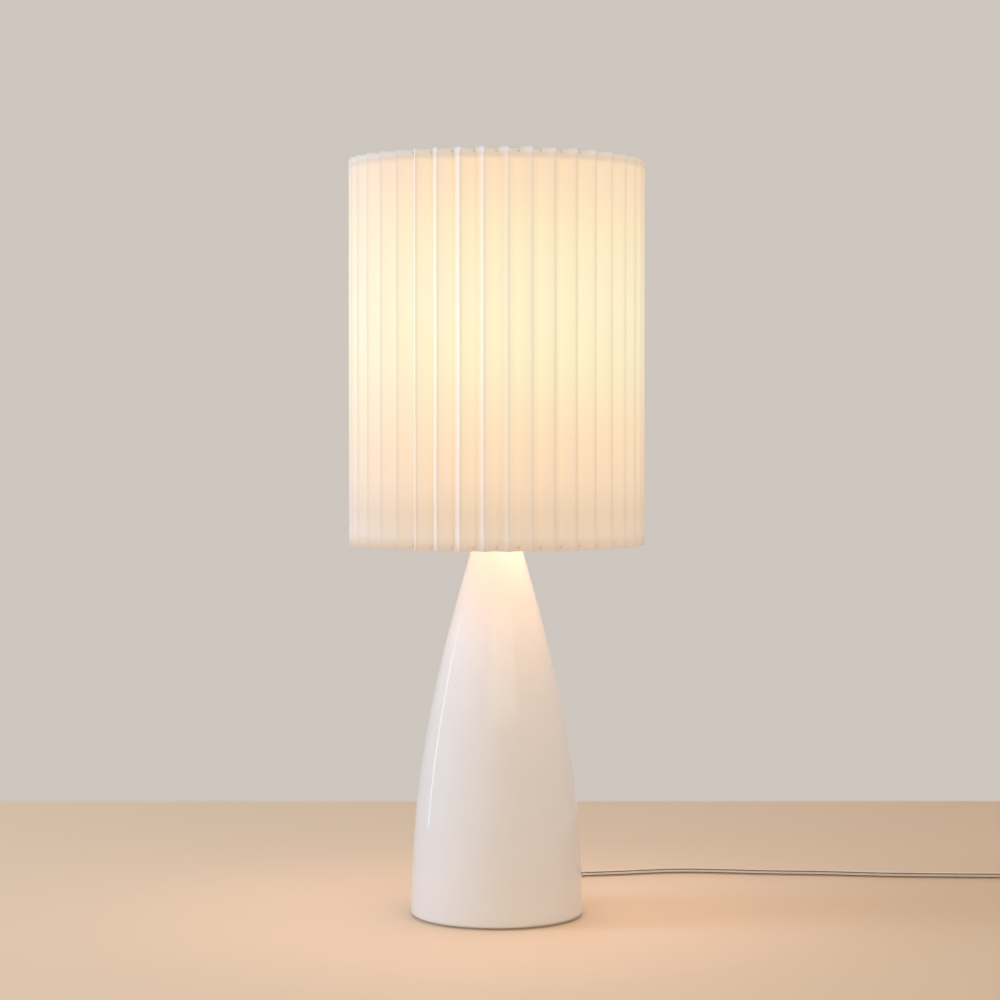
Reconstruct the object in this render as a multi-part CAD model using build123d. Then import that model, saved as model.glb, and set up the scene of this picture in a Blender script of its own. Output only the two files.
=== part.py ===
from build123d import *
import math
import os

# A pleated paper table lamp, in millimetres.
# The origin is on the table, under the middle of the base. +Z is up and +Y is towards the back.
# Every piece is drawn where it sits in the lamp, and each one is a node of its own.

# ---------------------------------------------------------------- driving dimensions

# Shade: one long strip of paper, folded like an accordion and closed to a ring.
shade_diameter = 254.0        # across the outer folds
shade_height = 329.0
pleat_count = 40
pleat_depth = 11.4            # from the outer folds in to the inner folds
pleat_turn = 4.4              # degrees from the front to the first outer fold on its right
paper_thickness = 0.5

# Shade frame: a stiff band and a wire ring inside each end, and a fitter of three arms.
band_width = 7.0
band_thickness = 0.8
ring_wire = 2.6
arm_wire = 2.6
arm_count = 3
arm_weld_run = 7.1            # level end of an arm, lying against the ring
arm_rise_run = 16.0           # how far it runs outwards while it rises to the ring
arm_bend = 9.0
arm_end_bend = 5.0
fitter_drop = 13.3            # from the top ring down to the hub
hub_radius = 10.0
hub_thickness = 3.2

# Harp: a bent wire loop that stands on the saddle and carries the shade over the bulb.
harp_height = 228.6           # from the underside of the saddle to the seat of the shade
harp_wire_diameter = 3.2
harp_foot_reach = 24.0        # from the axis out to each leg at the bottom
harp_belly_reach = 50.0       # the same at its widest
harp_leg_length = 37.0        # each plumb leg, up to its first bend
harp_belly_low = 87.0         # the widest part starts this far above the feet
harp_belly_length = 56.0
harp_shoulder_reach = 38.0
harp_shoulder_drop = 27.0     # from the top wire down to the shoulder bends
harp_top_reach = 19.0
harp_bends = (48.0, 100.0, 140.0, 84.0, 21.0)
harp_seat_radius = 6.5
harp_seat_thickness = 5.2
harp_seat_cover = 2.0         # of its metal above the wire
stud_radius = 3.175           # a quarter-inch stud
stud_length = 12.7
sleeve_length = 16.0
sleeve_wall = 0.8
sleeve_collar = 0.4
sleeve_collar_height = 1.6
saddle_thickness = 1.5
saddle_strip_width = 3.0
saddle_bend = 2.5
saddle_plate_radius = 12.0
saddle_post_height = 11.0     # from the underside of the saddle to the harp's feet

# Finial: a small turned brass knob.
finial_flange_radius = 7.0
finial_flange_height = 2.0
finial_waist_radius = 4.4
finial_waist_rise = 2.6
finial_ball_radius = 6.6
finial_height = 18.2
finial_bore_spare = 1.5       # its bore is this much deeper than the stud reaches

# Base: a glazed ceramic bottle. One curve makes its side: plumb at the foot, and drawn in
# evenly to a slim neck.
foot_radius = 74.0
neck_radius = 16.7
base_top = 338.0
side_plumb = 168.0            # how strongly the side keeps plumb above the foot
neck_pull = 42.0              # how long the neck keeps its own slope
neck_slope = 0.175            # narrowing of the neck per unit of height
ceramic_wall = 4.5
foot_wall = 9.0
foot_round = 2.5
neck_round = 2.0
neck_shoulder = 5.0           # thickness of the ceramic at the top of the neck
floor_thickness = 5.0
floor_z = 30.5                # underside of the ceramic floor
rod_hole_radius = 5.5
felt_thickness = 1.5
felt_inset = 3.5              # the felt stays this far inside the foot's edge
cover_thickness = 2.0
cover_ledge = 3.0             # width of the ledge that the bottom cover lies on

# Weight and threaded rod: the rod clamps the weight, the base and the cap together.
weight_radius = 52.0
weight_thickness = 6.0
rod_radius = 4.75
rod_bore_radius = 3.175
rod_below_nut = 1.0
rod_in_socket = 8.0           # how far the rod stands up into the socket cap
nut_width = 14.0              # across the flats
nut_height = 4.0
washer_radius = 16.0
washer_thickness = 1.5

# Cap and neck tube between the ceramic and the harp saddle.
seat_thickness = 1.0
seat_margin = 3.5
cap_overhang = 1.3            # how far the cap reaches past the top of the neck
cap_height = 6.0
cap_metal = 1.0
cap_hub_radius = 9.5
neck_tube_radius = 9.0
neck_tube_length = 57.0

# Socket for a medium screw bulb.
socket_cap_radius = 18.0
socket_cap_height = 19.0
socket_metal = 0.7
socket_cap_hub = 8.0
socket_cap_dome = 11.0
shell_length = 46.0
shell_start = 12.5            # from the bottom of the socket cap to the shell's lower edge
shell_metal = 0.6
liner_thickness = 0.8
liner_inset = 1.0
core_start = 13.5
core_height = 17.0
core_flat_reach = 12.0
screw_shell_height = 24.0
screw_shell_metal = 0.45
contact_rise = 1.8
contact_metal = 0.5
contact_width = 5.0
contact_length = 10.0
terminal_head_radius = 3.2
terminal_head_height = 1.6
terminal_shank_radius = 1.6
terminal_shank_length = 4.0
terminal_height = 6.5         # above the underside of the core
screw_slot_width = 0.8
screw_slot_depth = 0.6

# Turn-knob switch on the front of the socket.
switch_height = 9.5           # above the underside of the core
shaft_radius = 2.0
shaft_inner_end = 6.0
shaft_reach = 31.0
knob_radius = 5.5
knob_length = 13.0
knob_start = 20.0
knob_flutes = 12
knob_flute_radius = 0.7
knob_flute_length = 9.75
slot_radius = 3.0

# Bulb: a pear-shaped lamp 60 mm across on a 26 mm screw cap.
bulb_diameter = 60.0
bulb_length = 110.0
bulb_cap_radius = 13.0
bulb_cap_height = 25.8
bulb_cap_cone = 5.0
bulb_contact_radius = 4.8
bulb_contact_tip_radius = 2.88
bulb_contact_height = 2.5
bulb_insulator_radius = 7.5
globe_wall = 1.2
globe_split = 35.0            # degrees below its widest circle where the globe meets the housing
housing_wall = 2.0
housing_neck_radius = 13.6
housing_neck_pull = 22.0
housing_belly_pull = 10.0
board_thickness = 1.6
board_margin = 0.3
chip_count = 10
chip_size = 3.0
chip_height = 0.8
chip_circle = 14.0

# Mains lead: a flat two-core cord, drawn here as a round tube as wide as the cord.
cord_diameter = 5.4
cord_hole_z = 9.0
lead_bend = 9.0               # where the lead turns up into the rod
relief_length = 24.0          # tapered nose of the bushing outside the base
relief_flange_radius = 7.0
relief_flange_thickness = 2.4
relief_root_radius = 5.2
relief_tip_radius = 3.7
relief_ribs = 5
relief_groove = 0.5
bushing_radius = 5.0
bushing_inner_lip = 1.5

# The free cord's points on the table, from the bushing to the coil.
lead_points = [
    (0.0, 112.0, 9.0),
    (2.0, 131.0, 5.0),
    (16.0, 159.0, 2.7),
    (45.0, 174.0, 2.7),
    (80.0, 182.0, 2.7),
    (120.0, 190.0, 2.7),
    (167.0, 203.0, 2.7),
    (215.0, 198.0, 2.7),
    (260.0, 191.0, 2.7),
    (305.0, 189.0, 2.7),
    (353.0, 180.0, 2.7),
    (410.0, 176.0, 2.7),
    (470.0, 174.0, 2.7),
]

# The rest of the cord is wound into a neat coil of two layers.
coil_start_x = 527.0
coil_start_y = 174.0
coil_radius = 39.0            # of its first half turn
coil_pitch = 5.9              # from one turn to the next beside it
coil_layer_step = 5.9         # from the lower layer to the upper one
coil_half_turns = 6           # inwards, before the half turn that climbs
tail_length = 36.0

# Plug: a moulded two-blade plug with one wide blade.
plug_nose_length = 12.0
plug_nose_radius = 3.7
plug_taper_length = 14.0
plug_block_length = 14.0
plug_width = 26.0
plug_corner = 4.0
plug_throat = 9.0
blade_thickness = 1.5
blade_widths = (6.35, 7.9)
blade_spacing = 12.7
blade_length = 17.0
blade_root = 8.0
blade_hole_radius = 1.6
blade_hole_from_tip = 4.5

# Clearances.
running = 0.05                # round a turning shaft
slip = 0.1                    # between pieces pushed together by hand
loose = 0.3                   # between pieces on different bodies that only pass each other
beyond = 1.0                  # how far a cutter runs past the face that it leaves
bend_share = 0.45             # of a straight run that one of its bends may take up
measure_step = 2.0            # between the points on which the coil's gap is measured

# ---------------------------------------------------------------- heights worked out from them

foot_z = felt_thickness
web_top = floor_z + floor_thickness
weight_z = floor_z - weight_thickness
washer_z = weight_z - washer_thickness
nut_z = washer_z - nut_height
rod_bottom = nut_z - rod_below_nut

seat_z = base_top
cap_z = seat_z + seat_thickness
neck_tube_z = cap_z + cap_height
saddle_z = neck_tube_z + neck_tube_length
harp_foot_z = saddle_z + saddle_post_height
harp_seat_z = saddle_z + harp_height
harp_top_wire_z = harp_seat_z - harp_wire_diameter / 2 - harp_seat_cover
stud_top = harp_seat_z + stud_length

socket_z = saddle_z + saddle_thickness
rod_top = socket_z + rod_in_socket
shell_z = socket_z + shell_start
shell_top = shell_z + shell_length
core_z = socket_z + core_start
core_top = core_z + core_height
switch_z = core_z + switch_height
bulb_z = core_top + contact_rise + loose
globe_z = bulb_z + bulb_length - bulb_diameter / 2

hub_z = harp_seat_z + hub_thickness / 2
ring_top_z = hub_z + fitter_drop
shade_top = ring_top_z + band_width / 2
shade_bottom = shade_top - shade_height
ring_bottom_z = shade_bottom + band_width / 2
finial_z = harp_seat_z + hub_thickness

shade_radius = shade_diameter / 2
valley_radius = shade_radius - pleat_depth
coil_low_z = cord_diameter / 2
coil_high_z = coil_low_z + coil_layer_step
plug_height = 2 * coil_high_z

FLAT = (Align.CENTER, Align.CENTER, Align.MIN)


# ---------------------------------------------------------------- shapes used by many pieces

def disc(radius, low, high):
    """A round solid on the lamp's axis between two heights."""
    return Pos(0, 0, low) * Cylinder(radius, high - low, align=FLAT)


def washer(outer, inner, low, high):
    """A disc with a round hole through it."""
    return disc(outer, low, high) - disc(inner, low - beyond, high + beyond)


def turned(*outline):
    """A solid turned about the axis from straight-sided (radius, height) points."""
    return revolve(Plane.XZ * make_face(Polyline(*outline, close=True)), Axis.Z)


def turned_face(*edges):
    """A solid turned about the axis from the closed outline that the edges make."""
    return revolve(Plane.XZ * make_face(Curve() + list(edges)), Axis.Z)


def along(path, diameter):
    """Round wire, tube or cord that follows a path."""
    return sweep(Plane(origin=path @ 0, z_dir=path % 0) * Circle(diameter / 2), path=path)


def bend_radii(points):
    """For each inner point, the largest bend that both of its runs leave room for."""
    radii = []
    for before, corner, after in zip(points, points[1:], points[2:]):
        run_in = Vector(*corner) - Vector(*before)
        run_out = Vector(*after) - Vector(*corner)
        half_turn = math.radians(run_in.get_angle(run_out)) / 2
        radii.append(bend_share * min(run_in.length, run_out.length) / math.tan(half_turn))
    return radii


def bent(points, radii):
    """Straight runs joined by bends. Where a run is too short for a bend, the bend is smaller."""
    fitting = [min(radius, room) for radius, room in zip(radii, bend_radii(points))]
    return FilletPolyline(*points, radius=fitting)


def polar(radius, degrees):
    """A point on a circle round the axis."""
    angle = math.radians(degrees)
    return radius * math.cos(angle), radius * math.sin(angle)


# ---------------------------------------------------------------- base

def base_side(inset):
    """The side of the base from foot to neck, moved inwards by inset."""
    low_r, low_z = foot_radius - inset, foot_z + foot_round
    top_r = neck_radius - inset
    return Bezier(
        (low_r, low_z),
        (low_r, low_z + side_plumb),
        (top_r + neck_pull * neck_slope, base_top - neck_pull),
        (top_r, base_top),
    )


def bottle(inset, low, high):
    """The space inside the base's side, moved in by inset, between two heights."""
    low_r, low_z = foot_radius - inset, foot_z + foot_round
    whole = turned_face(
        base_side(inset),
        Polyline((neck_radius - inset, base_top), (0, base_top), (0, foot_z), (low_r, foot_z), (low_r, low_z)),
    )
    return whole & disc(foot_radius + beyond, low, high)


def make_base_body():
    low_r, low_z = foot_radius, foot_z + foot_round
    corner = low_r - foot_round
    turn = foot_round * math.sqrt(0.5)
    outside = turned_face(
        base_side(0),
        Line((neck_radius, base_top), (0, base_top)),
        Line((0, base_top), (0, foot_z)),
        Line((0, foot_z), (corner, foot_z)),
        ThreePointArc((corner, foot_z), (corner + turn, low_z - turn), (low_r, low_z)),
    )
    rim = outside.edges().filter_by(GeomType.CIRCLE).sort_by(Axis.Z)[-1]
    body = fillet(rim, neck_round)
    body -= bottle(ceramic_wall, web_top, base_top - neck_shoulder)
    body -= bottle(foot_wall, foot_z - beyond, floor_z)
    body -= disc(cover_radius() + slip, foot_z - beyond, foot_z + cover_thickness)
    body -= disc(rod_hole_radius, floor_z - beyond, base_top + beyond)
    hole = Cylinder(bushing_radius + slip, foot_radius, align=FLAT)
    body -= Pos(0, foot_radius / 2, cord_hole_z) * Rot(-90, 0, 0) * hole
    return body


def cover_radius():
    return foot_radius - foot_wall + cover_ledge


def make_nut():
    low, high = nut_z, nut_z + nut_height
    blank = extrude(RegularPolygon(nut_width / 2, 6, major_radius=False), high - low)
    return Pos(0, 0, low) * blank - disc(rod_radius + running, low - beyond, high + beyond)


def make_bushing():
    """The cord's bushing, turned about the cord: a lip inside, a flange and a ribbed nose outside."""
    flange_y = foot_radius + slip
    inner_y = foot_radius - foot_wall - bushing_inner_lip
    outline = [
        (bushing_radius, inner_y),
        (bushing_radius, flange_y),
        (relief_flange_radius, flange_y),
        (relief_flange_radius, flange_y + relief_flange_thickness),
    ]
    nose_y = flange_y + relief_flange_thickness
    step = (relief_length - relief_flange_thickness) / (2 * relief_ribs)
    for rib in range(2 * relief_ribs):
        share = rib / (2 * relief_ribs - 1)
        radius = relief_root_radius + (relief_tip_radius - relief_root_radius) * share
        radius -= relief_groove * (rib % 2)
        outline += [(radius, nose_y + step * rib), (radius, nose_y + step * (rib + 1))]
    bore = cord_diameter / 2 + slip
    outline += [(bore, outline[-1][1]), (bore, inner_y)]
    return Pos(0, 0, cord_hole_z) * Rot(-90, 0, 0) * turned(*outline)


nose_end_y = foot_radius + slip + relief_length

inner_lead_route = [(0, nose_end_y, cord_hole_z), (0, 0, cord_hole_z), (0, 0, core_z - slip)]
inner_lead_path = bent(inner_lead_route, [lead_bend])

nodes = {}
nodes["base_felt"] = disc(foot_radius - felt_inset, 0, felt_thickness)
nodes["bottom_cover"] = disc(cover_radius(), foot_z, foot_z + cover_thickness)
nodes["base_body"] = make_base_body()
nodes["weight_disc"] = washer(weight_radius, rod_hole_radius, weight_z, floor_z)
nodes["rod_washer"] = washer(washer_radius, rod_radius + slip, washer_z, weight_z)
nodes["rod_nut"] = make_nut()
nodes["lamp_rod"] = washer(rod_radius, rod_bore_radius, rod_bottom, rod_top)
nodes["cord_bushing"] = make_bushing()
nodes["inner_lead"] = along(inner_lead_path, cord_diameter)


# ---------------------------------------------------------------- cap, neck tube and saddle

def make_vase_cap():
    """A shallow brass dome with a flat top, open below."""
    rim, hub, bore = neck_radius + cap_overhang, cap_hub_radius, rod_radius + slip
    top = cap_z + cap_height

    def dome(inset):
        return Bezier(
            (rim - inset, cap_z),
            (rim - inset, cap_z + cap_height / 2),
            (hub + cap_height / 2, top - inset),
            (hub, top - inset),
        )

    return turned_face(
        dome(0),
        Polyline((hub, top), (bore, top), (bore, top - cap_metal), (hub, top - cap_metal)),
        dome(cap_metal),
        Line((rim - cap_metal, cap_z), (rim, cap_z)),
    )


def make_saddle():
    """A flat strip with both ends turned up into posts, and a round plate in its middle."""
    level, top = saddle_z + saddle_thickness / 2, harp_foot_z
    reach = harp_foot_reach
    points = [(-reach, 0, top), (-reach, 0, level), (reach, 0, level), (reach, 0, top)]
    path = bent(points, [saddle_bend, saddle_bend])
    section = Plane(origin=path @ 0, x_dir=(0, 1, 0), z_dir=path % 0)
    strip = sweep(section * Rectangle(saddle_strip_width, saddle_thickness), path=path)
    strip += disc(saddle_plate_radius, saddle_z, socket_z)
    return strip - disc(rod_radius + slip, saddle_z - beyond, socket_z + beyond)


nodes["cap_seat"] = washer(neck_radius - seat_margin, rod_hole_radius, seat_z, cap_z)
nodes["vase_cap"] = make_vase_cap()
nodes["neck_tube"] = washer(neck_tube_radius, rod_radius + slip, neck_tube_z, saddle_z)
nodes["harp_saddle"] = make_saddle()


# ---------------------------------------------------------------- harp

harp_half = [
    (harp_foot_reach, harp_foot_z),
    (harp_foot_reach, harp_foot_z + harp_leg_length),
    (harp_belly_reach, harp_foot_z + harp_belly_low),
    (harp_belly_reach, harp_foot_z + harp_belly_low + harp_belly_length),
    (harp_shoulder_reach, harp_top_wire_z - harp_shoulder_drop),
    (harp_top_reach, harp_top_wire_z),
]


def make_harp_wire():
    right = [(x, 0, z) for x, z in harp_half]
    left = [(-x, 0, z) for x, z in reversed(harp_half)]
    radii = harp_bends + harp_bends[::-1]
    return along(bent(right + left, radii), harp_wire_diameter)


def make_harp_seat():
    """The round seat swaged onto the top of the harp, with the stud for the shade and finial."""
    groove = harp_wire_diameter / 2 + slip
    block = disc(harp_seat_radius, harp_seat_z - harp_seat_thickness, harp_seat_z)
    stud = disc(stud_radius, harp_seat_z, stud_top)
    wire_way = Pos(0, 0, harp_top_wire_z) * Rot(0, 90, 0) * Cylinder(groove, 3 * harp_seat_radius)
    open_way = Pos(0, 0, harp_top_wire_z) * Box(
        3 * harp_seat_radius, 2 * groove, harp_seat_thickness, align=(Align.CENTER, Align.CENTER, Align.MAX)
    )
    tip = (block + stud) - wire_way - open_way
    top_edge = tip.edges().filter_by(GeomType.CIRCLE).sort_by(Axis.Z)[-1]
    return chamfer(top_edge, stud_radius / 6)


def make_sleeve(side):
    """A brass sleeve that drops over the joint of harp and saddle."""
    bore = harp_wire_diameter / 2 + 2 * slip
    low = saddle_z + saddle_thickness + saddle_bend
    outer = bore + sleeve_wall
    collar = outer + sleeve_collar
    tube = turned(
        (bore, low),
        (collar, low),
        (collar, low + sleeve_collar_height),
        (outer, low + sleeve_collar_height + sleeve_collar),
        (outer, low + sleeve_length - sleeve_collar),
        (outer - sleeve_collar, low + sleeve_length),
        (bore, low + sleeve_length),
    )
    return Pos(side * harp_foot_reach, 0, 0) * tube


nodes["harp_wire"] = make_harp_wire()
nodes["harp_seat"] = make_harp_seat()
nodes["harp_sleeve_left"] = make_sleeve(-1)
nodes["harp_sleeve_right"] = make_sleeve(1)


# ---------------------------------------------------------------- socket and switch

shell_radius = socket_cap_radius - socket_metal - slip
liner_radius = shell_radius - shell_metal - slip
core_radius = liner_radius - liner_thickness - loose


def make_socket_cap():
    """The lower half of the socket: a brass cup whose hub is screwed onto the rod."""
    wide, hub, bore = socket_cap_radius, socket_cap_hub, rod_radius + running
    dome_z = socket_z + socket_cap_dome
    top = socket_z + socket_cap_height

    def cup(inset):
        return Bezier(
            (hub, socket_z + inset),
            (wide - inset - hub / 4, socket_z + inset),
            (wide - inset, socket_z + socket_cap_dome / 2),
            (wide - inset, dome_z),
        )

    return turned_face(
        Line((bore, socket_z), (hub, socket_z)),
        cup(0),
        Polyline((wide, dome_z), (wide, top), (wide - socket_metal, top), (wide - socket_metal, dome_z)),
        cup(socket_metal),
        Polyline((hub, socket_z + socket_metal), (hub, rod_top), (bore, rod_top), (bore, socket_z)),
    )


def switch_slot(low):
    """Cutter for the slot that lets a shell slide off over the switch shaft."""
    reach = socket_cap_radius
    tall = switch_z - low + beyond
    slot = Pos(0, -reach, switch_z - tall / 2) * Box(2 * slot_radius, reach, tall)
    end = Pos(0, -reach, switch_z) * Rot(90, 0, 0) * Cylinder(slot_radius, reach)
    return slot + end


def make_core():
    """The insulating block that holds the switch, the terminals and the screw shell."""
    core = disc(core_radius, core_z, core_top)
    reach = shaft_inner_end + running
    depth = core_radius + beyond + reach
    bore = Cylinder(shaft_radius + running, depth)
    core -= Pos(0, reach - depth / 2, switch_z) * Rot(90, 0, 0) * bore
    for side in (-1, 1):
        flat = Box(core_radius, 2 * core_radius, terminal_height * 2, align=FLAT)
        core -= Pos(side * (core_flat_reach + core_radius / 2), 0, core_z - beyond) * flat
        hole = Cylinder(terminal_shank_radius + running, 2 * terminal_shank_length)
        core -= Pos(side * core_flat_reach, 0, core_z + terminal_height) * Rot(0, 90, 0) * hole
    return core


def make_terminal(side):
    """One terminal screw, head outwards on the core's flat."""
    shank = Cylinder(terminal_shank_radius, terminal_shank_length, align=FLAT)
    head = Cylinder(terminal_head_radius, terminal_head_height, align=FLAT)
    screw = Pos(0, 0, -terminal_shank_length) * shank + head
    slot = Box(2 * terminal_head_radius, screw_slot_width, 2 * screw_slot_depth)
    screw -= Pos(0, 0, terminal_head_height) * slot
    return Pos(side * core_flat_reach, 0, core_z + terminal_height) * Rot(0, side * 90, 0) * screw


def make_centre_contact():
    """A springy brass tongue that rises to the bulb."""
    half, low = contact_length / 2, core_top + contact_metal / 2
    high = low + contact_rise - contact_metal
    path = bent(
        [(-half, 0, low), (-half / 4, 0, low), (half / 3, 0, high), (half, 0, high)],
        [contact_metal, contact_metal],
    )
    section = Plane(origin=path @ 0, x_dir=(0, 1, 0), z_dir=path % 0)
    return sweep(section * Rectangle(contact_width, contact_metal), path=path)


def make_knob():
    """A fluted knob on the end of the switch shaft, turned about Y."""
    knob = Cylinder(knob_radius, knob_length, align=FLAT)
    knob = fillet(knob.edges().filter_by(GeomType.CIRCLE).sort_by(Axis.Z)[-1], knob_radius / 4)
    for flute in range(knob_flutes):
        x, y = polar(knob_radius, 360 / knob_flutes * flute)
        flute_cut = Cylinder(knob_flute_radius, knob_flute_length, align=FLAT)
        knob -= Pos(x, y, -beyond) * flute_cut
    knob -= Cylinder(shaft_radius + running, shaft_reach - knob_start + running, align=FLAT)
    return Pos(0, -knob_start, switch_z) * Rot(90, 0, 0) * knob


shaft = Cylinder(shaft_radius, shaft_reach + shaft_inner_end, align=FLAT)
liner_low, liner_top = shell_z + liner_inset, shell_top - liner_inset / 2
screw_radius = bulb_cap_radius + loose

nodes["socket_cap"] = make_socket_cap()
nodes["socket_shell"] = washer(shell_radius, shell_radius - shell_metal, shell_z, shell_top) - switch_slot(shell_z)
nodes["socket_liner"] = washer(liner_radius, liner_radius - liner_thickness, liner_low, liner_top)
nodes["socket_liner"] -= switch_slot(liner_low)
nodes["socket_core"] = make_core()
nodes["screw_shell"] = washer(
    screw_radius + screw_shell_metal, screw_radius, core_top, core_top + screw_shell_height
)
nodes["centre_contact"] = make_centre_contact()
nodes["terminal_screws"] = make_terminal(-1) + make_terminal(1)
nodes["switch_shaft"] = Pos(0, shaft_inner_end, switch_z) * Rot(90, 0, 0) * shaft
nodes["switch_knob"] = make_knob()


# ---------------------------------------------------------------- bulb

globe_radius = bulb_diameter / 2
split_r, split_drop = polar(globe_radius, globe_split)
split_z = globe_z - split_drop
housing_low = bulb_z + bulb_cap_height


def housing_side(inset):
    """From the globe's edge, in line with its surface, in to the plumb neck above the screw cap."""
    slope_r, slope_z = polar(housing_belly_pull, 90 - globe_split)
    return Bezier(
        (split_r - inset, split_z),
        (split_r - inset - slope_r, split_z - slope_z),
        (housing_neck_radius - inset, housing_low + housing_neck_pull),
        (housing_neck_radius - inset, housing_low),
    )


def make_housing():
    return turned_face(
        housing_side(0),
        Line((housing_neck_radius, housing_low), (housing_neck_radius - housing_wall, housing_low)),
        housing_side(housing_wall),
        Line((split_r - housing_wall, split_z), (split_r, split_z)),
    )


def make_globe():
    """A hollow dome, from the housing's rim over its widest circle to the top."""
    inner = globe_radius - globe_wall
    inner_r = split_r - globe_wall
    inner_z = globe_z - math.sqrt(inner**2 - inner_r**2)
    return turned_face(
        ThreePointArc((split_r, split_z), (globe_radius, globe_z), (0, globe_z + globe_radius)),
        Line((0, globe_z + globe_radius), (0, globe_z + inner)),
        ThreePointArc((0, globe_z + inner), (inner, globe_z), (inner_r, inner_z)),
        Polyline((inner_r, inner_z), (inner_r, split_z), (split_r, split_z)),
    )


def make_board():
    """The lit board: a round plate with a ring of small square chips."""
    taper = board_thickness * math.tan(math.radians(globe_split))
    radius = split_r - housing_wall - taper - board_margin
    board = disc(radius, split_z - board_thickness, split_z)
    for chip in range(chip_count):
        x, y = polar(chip_circle, 360 / chip_count * chip)
        board += Pos(x, y, split_z) * Box(chip_size, chip_size, chip_height, align=FLAT)
    return board


cap_low = bulb_z + bulb_contact_height
nodes["bulb_contact"] = turned(
    (0, bulb_z),
    (bulb_contact_tip_radius, bulb_z),
    (bulb_contact_radius, bulb_z + bulb_contact_height / 2),
    (bulb_contact_radius, cap_low),
    (0, cap_low),
)
nodes["bulb_cap"] = turned(
    (0, cap_low),
    (bulb_insulator_radius, cap_low),
    (bulb_cap_radius, cap_low + bulb_cap_cone),
    (bulb_cap_radius, housing_low),
    (0, housing_low),
)
nodes["bulb_housing"] = make_housing()
nodes["led_board"] = make_board()
nodes["bulb_globe"] = make_globe()


# ---------------------------------------------------------------- shade

flank_half_width = valley_radius * math.sin(math.pi / pleat_count)
flank_angle = math.atan2(flank_half_width, pleat_depth)
paper_shift = paper_thickness / math.sin(flank_angle)
band_radius = valley_radius - paper_shift - slip
ring_radius = band_radius - band_thickness - slip - ring_wire / 2


def pleat_outline(shift):
    """The folded strip seen from above: outer and inner folds by turns, drawn in by shift."""
    folds = []
    for fold in range(2 * pleat_count):
        radius = (valley_radius if fold % 2 else shade_radius) - shift
        folds.append(polar(radius, pleat_turn - 90 + 180 / pleat_count * fold))
    return make_face(Polyline(*folds, close=True))


def make_paper():
    strip = pleat_outline(0) - pleat_outline(paper_shift)
    return Pos(0, 0, shade_bottom) * extrude(strip, shade_height)


def make_ring(height):
    return Pos(0, 0, height) * Torus(ring_radius, ring_wire / 2)


def make_arms():
    """Arms from the hub out to the top ring, level, then up, then level again to the weld."""
    start = hub_radius + slip
    end = ring_radius - ring_wire / 2 - slip
    points = [
        (start, 0, hub_z),
        (end - arm_weld_run - arm_rise_run, 0, hub_z),
        (end - arm_weld_run, 0, ring_top_z),
        (end, 0, ring_top_z),
    ]
    arm = along(bent(points, [arm_bend, arm_end_bend]), arm_wire)
    return Part() + [Rot(0, 0, 90 + 360 / arm_count * turn) * arm for turn in range(arm_count)]


def make_finial():
    waist_z = finial_z + finial_flange_height + finial_waist_rise
    ball_z = finial_z + finial_height - finial_ball_radius
    neck_z = ball_z - math.sqrt(finial_ball_radius**2 - finial_waist_radius**2)
    bore, bore_end = stud_radius + 2 * running, stud_top + finial_bore_spare
    return turned_face(
        Polyline(
            (bore, bore_end),
            (bore, finial_z),
            (finial_flange_radius, finial_z),
            (finial_flange_radius, finial_z + finial_flange_height),
            (finial_waist_radius, waist_z),
            (finial_waist_radius, neck_z),
        ),
        ThreePointArc(
            (finial_waist_radius, neck_z), (finial_ball_radius, ball_z), (0, ball_z + finial_ball_radius)
        ),
        Line((0, ball_z + finial_ball_radius), (0, bore_end)),
        Line((0, bore_end), (bore, bore_end)),
    )


band_inner = band_radius - band_thickness
nodes["shade_paper"] = make_paper()
nodes["shade_top_band"] = washer(band_radius, band_inner, shade_top - band_width, shade_top)
nodes["shade_bottom_band"] = washer(band_radius, band_inner, shade_bottom, shade_bottom + band_width)
nodes["shade_top_ring"] = make_ring(ring_top_z)
nodes["shade_bottom_ring"] = make_ring(ring_bottom_z)
nodes["fitter_arms"] = make_arms()
nodes["fitter_hub"] = washer(hub_radius, stud_radius + 2 * slip, harp_seat_z, finial_z)
nodes["finial"] = make_finial()


# ---------------------------------------------------------------- cord, coil and plug

lead_start = (0.0, nose_end_y, cord_hole_z)
lead_end = (coil_start_x - cord_diameter, coil_start_y, coil_low_z)


def coil_edges():
    """Half turns inwards on the table, one that climbs, half turns outwards on top, a quarter turn."""
    step = coil_pitch / 2
    inwards = [(coil_radius - step * turn, 0.0) for turn in range(coil_half_turns)]
    climb = [(coil_radius - step * coil_half_turns, coil_layer_step)]
    outwards = list(reversed(inwards))[:-1]
    point = Vector(coil_start_x, coil_start_y, coil_low_z)
    edges = [Line(Vector(*lead_end), point)]
    side = 1
    for radius, rise in inwards + climb + outwards:
        end = point + Vector(0, side * 2 * radius, rise)
        middle = (point + end) / 2 + Vector(side * (end - point).length / 2, 0, 0)
        edges.append(ThreePointArc(point, middle, end))
        point, side = end, -side
    corner = point + Vector(coil_radius, coil_radius, 0)
    bulge = coil_radius * math.sqrt(0.5)
    middle = point + Vector(bulge, coil_radius - bulge, 0)
    edges.append(ThreePointArc(point, middle, corner))
    edges.append(Line(corner, corner + Vector(0, cord_diameter, 0)))
    return edges


def least_gap(path, diameter):
    """The least space between two turns of a wound cord, measured on points along it."""
    count = int(path.length / measure_step)
    points = [path @ (i / count) for i in range(count + 1)]
    far = int(4 * diameter / measure_step)
    return min((a - b).length for i, a in enumerate(points) for b in points[i + far:]) - diameter


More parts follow.
